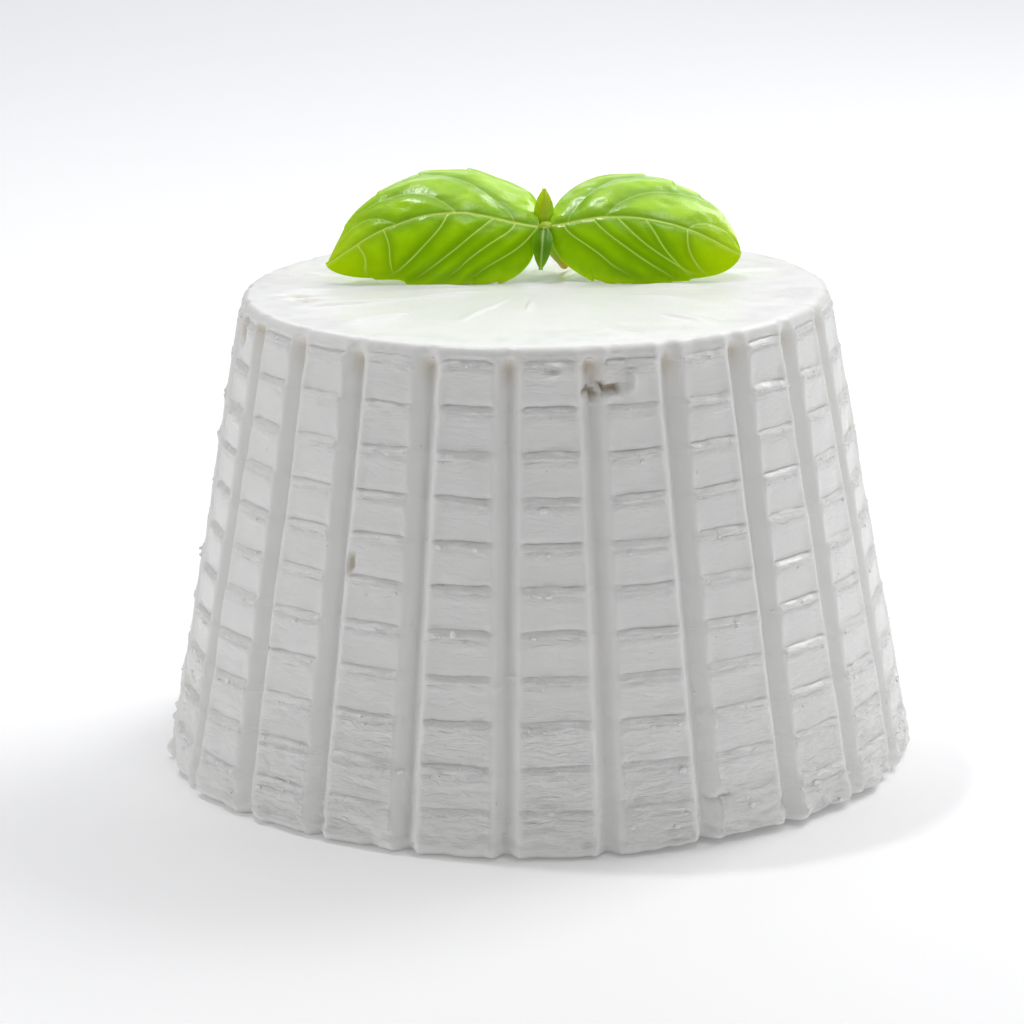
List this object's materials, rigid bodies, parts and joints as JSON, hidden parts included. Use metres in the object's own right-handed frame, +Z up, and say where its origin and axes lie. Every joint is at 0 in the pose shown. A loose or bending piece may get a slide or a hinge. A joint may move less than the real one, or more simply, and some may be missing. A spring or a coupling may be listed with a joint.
{
  "type": "moulded ricotta cheese",
  "caption": "Truncated cone of fresh cheese with upright grooves and low stepped courses left by its draining basket, topped with a basil shoot tip.",
  "frame": {"origin": "centre of the underside, on the surface the cheese stands on", "axes": "+Z up along the cone's axis; the large basil leaves point along -X and +X, and the front of the shoot faces -Y"},
  "size_m": [0.1492, 0.1492, 0.1142],
  "materials": {
    "fresh_cheese": "moist white curd, smooth and faintly glossy, with soft light passing a little way in",
    "basil_leaf": "waxy bright green leaf, quilted between pale veins, with soft highlights",
    "young_basil_leaf": "tender yellow-green young leaf, smooth and slightly translucent",
    "basil_stem": "pale green square-edged stem with a drying tan cut end"
  },
  "bodies": {
    "root": {"ricotta_cheese": "fresh_cheese", "basil_leaf_left": "basil_leaf", "basil_leaf_right": "basil_leaf", "basil_young_leaf_back": "young_basil_leaf", "basil_young_leaf_front": "young_basil_leaf", "basil_stem": "basil_stem"}
  },
  "joints": []
}
